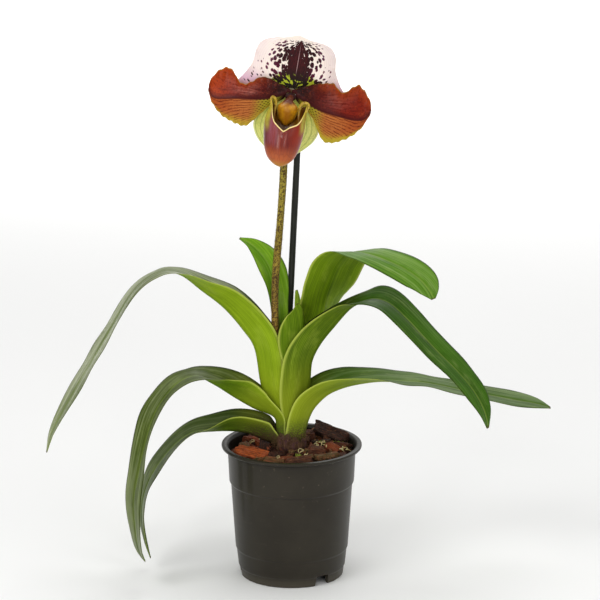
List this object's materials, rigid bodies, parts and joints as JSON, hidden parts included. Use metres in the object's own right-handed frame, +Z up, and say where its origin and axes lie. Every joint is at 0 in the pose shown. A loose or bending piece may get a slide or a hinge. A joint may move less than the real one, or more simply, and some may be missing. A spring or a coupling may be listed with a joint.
{
  "type": "paphiopedilum orchid",
  "caption": "Slipper orchid in a round nursery pot of bark: arching strap leaves, a staked hairy stem and a bloom with spotted hood, glossy drooping petals and a maroon pouch.",
  "frame": {"origin": "centre of the flat round boss under the pot, in the plane the pot stands on", "axes": "+Z up, +X to the right seen from the flower's front, +Y behind the plant"},
  "size_m": [0.432, 0.1434, 0.4767],
  "materials": {
    "pot": "moulded, dark olive-charcoal, faintly glossy at the rim",
    "stake": "plain dark stick",
    "scape": "hairy flower stem, olive and purple-brown",
    "ovary": "ribbed, hairy, olive",
    "bract": "green, folded, faintly hairy",
    "crown": "brown hairy roots and stem base",
    "dry_sheath": "dry, torn, brown-purple",
    "leaf_a": "glossy above, paler and duller beneath",
    "leaf_b": "glossy above, paler and duller beneath",
    "leaf_c": "glossy above, paler and duller beneath",
    "leaf_d": "young, yellow-green",
    "leaf_e": "glossy above, paler and duller beneath",
    "leaf_f": "glossy dark green above",
    "leaf_g": "glossy above, paler and duller beneath",
    "leaf_h": "young, folded, yellow-green",
    "leaf_i": "young, pale",
    "bark_mix": "rough bark chips, red-brown and dark brown",
    "dorsal_sepal": "white with maroon spots",
    "synsepal": "pale yellow-green with green veins",
    "petal_left": "glossy mahogany above, copper below, veined",
    "petal_right": "glossy mahogany above, copper below, veined",
    "lip": "glossy maroon pouch with copper toe",
    "column": "ochre-yellow, glossy"
  },
  "bodies": {
    "root": {"pot": "pot", "stake": "stake", "scape": "scape", "ovary": "ovary", "bract": "bract", "crown": "crown", "dry_sheath": "dry_sheath", "leaf_a": "leaf_a", "leaf_b": "leaf_b", "leaf_c": "leaf_c", "leaf_d": "leaf_d", "leaf_e": "leaf_e", "leaf_f": "leaf_f", "leaf_g": "leaf_g", "leaf_h": "leaf_h", "leaf_i": "leaf_i", "bark_mix": "bark_mix", "dorsal_sepal": "dorsal_sepal", "synsepal": "synsepal", "petal_left": "petal_left", "petal_right": "petal_right", "lip": "lip", "column": "column"}
  },
  "joints": []
}
